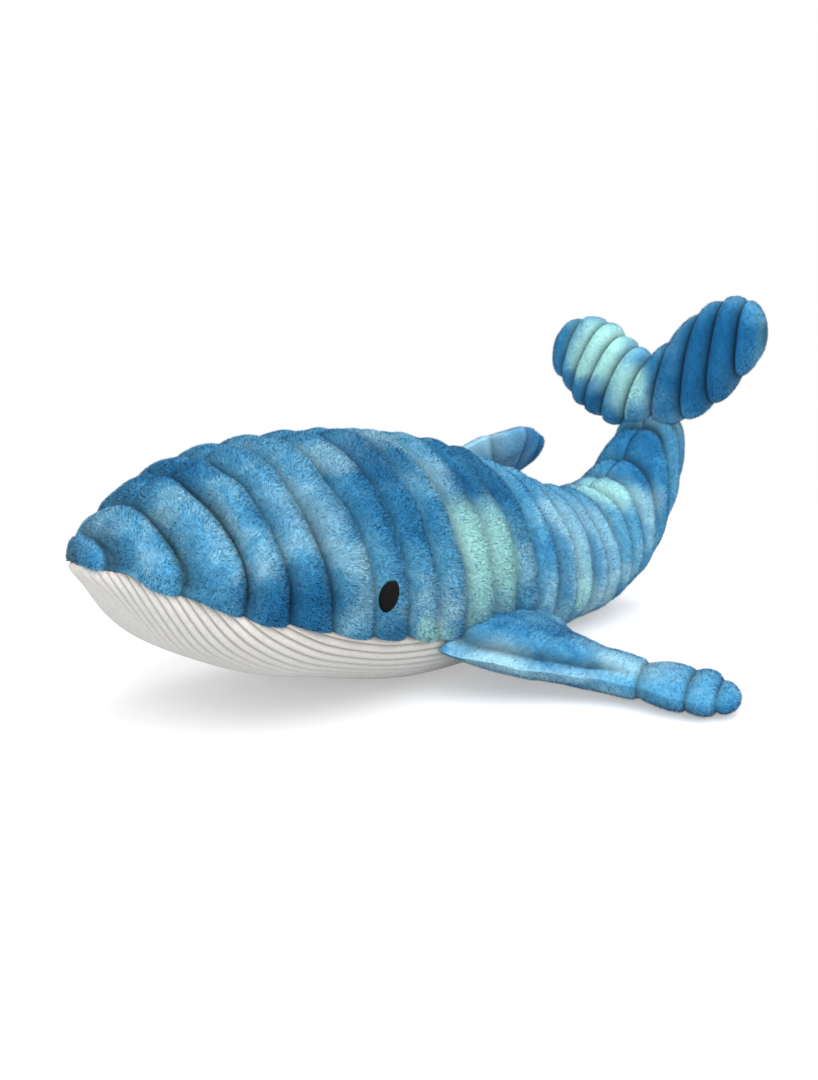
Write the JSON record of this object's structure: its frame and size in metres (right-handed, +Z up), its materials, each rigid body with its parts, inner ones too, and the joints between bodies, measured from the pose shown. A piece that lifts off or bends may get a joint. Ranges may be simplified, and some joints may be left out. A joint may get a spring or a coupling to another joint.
{
  "type": "plush whale",
  "caption": "Plush whale lying on its belly, with a ribbed body, a pale belly panel, two pectoral fins and raised tail flukes",
  "frame": {"origin": "on the resting surface, on the flat of the belly and on the centre line", "axes": "+X from the nose towards the tail, +Z up, +Y towards the whale's right side"},
  "size_m": [0.518, 0.3099, 0.2321],
  "materials": {
    "blue_plush": "blue tie-dyed ribbed plush, matte pile",
    "mint_plush": "pale mint to blue tie-dyed ribbed plush, matte pile",
    "cream_ribbed_plush": "cream plush with narrow lengthwise wales, matte pile",
    "black_felt": "matte black felt",
    "wadding": "loose white polyester wadding, matte"
  },
  "bodies": {
    "trunk": {"side_panel_left": "blue_plush", "side_panel_right": "blue_plush", "belly_panel": "cream_ribbed_plush", "body_filling": "wadding", "eye_left": "black_felt", "eye_right": "black_felt"},
    "tail": {"tail_panel_left": "blue_plush", "tail_panel_right": "blue_plush", "tail_filling": "wadding"},
    "flukes": {"fluke_top_panel": "blue_plush", "fluke_bottom_panel": "mint_plush", "fluke_filling": "wadding"},
    "left_fin": {"left_fin_upper_panel": "blue_plush", "left_fin_lower_panel": "mint_plush", "left_fin_filling": "wadding"},
    "right_fin": {"right_fin_upper_panel": "blue_plush", "right_fin_lower_panel": "mint_plush", "right_fin_filling": "wadding"}
  },
  "joints": [
    {"name": "tail_bend", "type": "hinge", "parent": "trunk", "child": "tail", "pos_m": [0.14938, 0, 0.04233], "axis": [0, -1, 0], "range_deg": [-8, 8], "stiffness_Nm_per_rad": 8},
    {"name": "fluke_flap", "type": "hinge", "parent": "tail", "child": "flukes", "pos_m": [0.24864, 0, 0.139], "axis": [0, -1, 0], "range_deg": [-15, 15], "stiffness_Nm_per_rad": 3},
    {"name": "left_fin_flap", "type": "hinge", "parent": "trunk", "child": "left_fin", "pos_m": [-0.01347, -0.08019, 0.02425], "axis": [-0.9907, -0.1208, 0.063], "range_deg": [0, 50], "stiffness_Nm_per_rad": 0.5},
    {"name": "right_fin_flap", "type": "hinge", "parent": "trunk", "child": "right_fin", "pos_m": [0.02176, 0.07602, 0.02425], "axis": [0.9876, -0.144, -0.0628], "range_deg": [-60, 2], "stiffness_Nm_per_rad": 0.5}
  ]
}
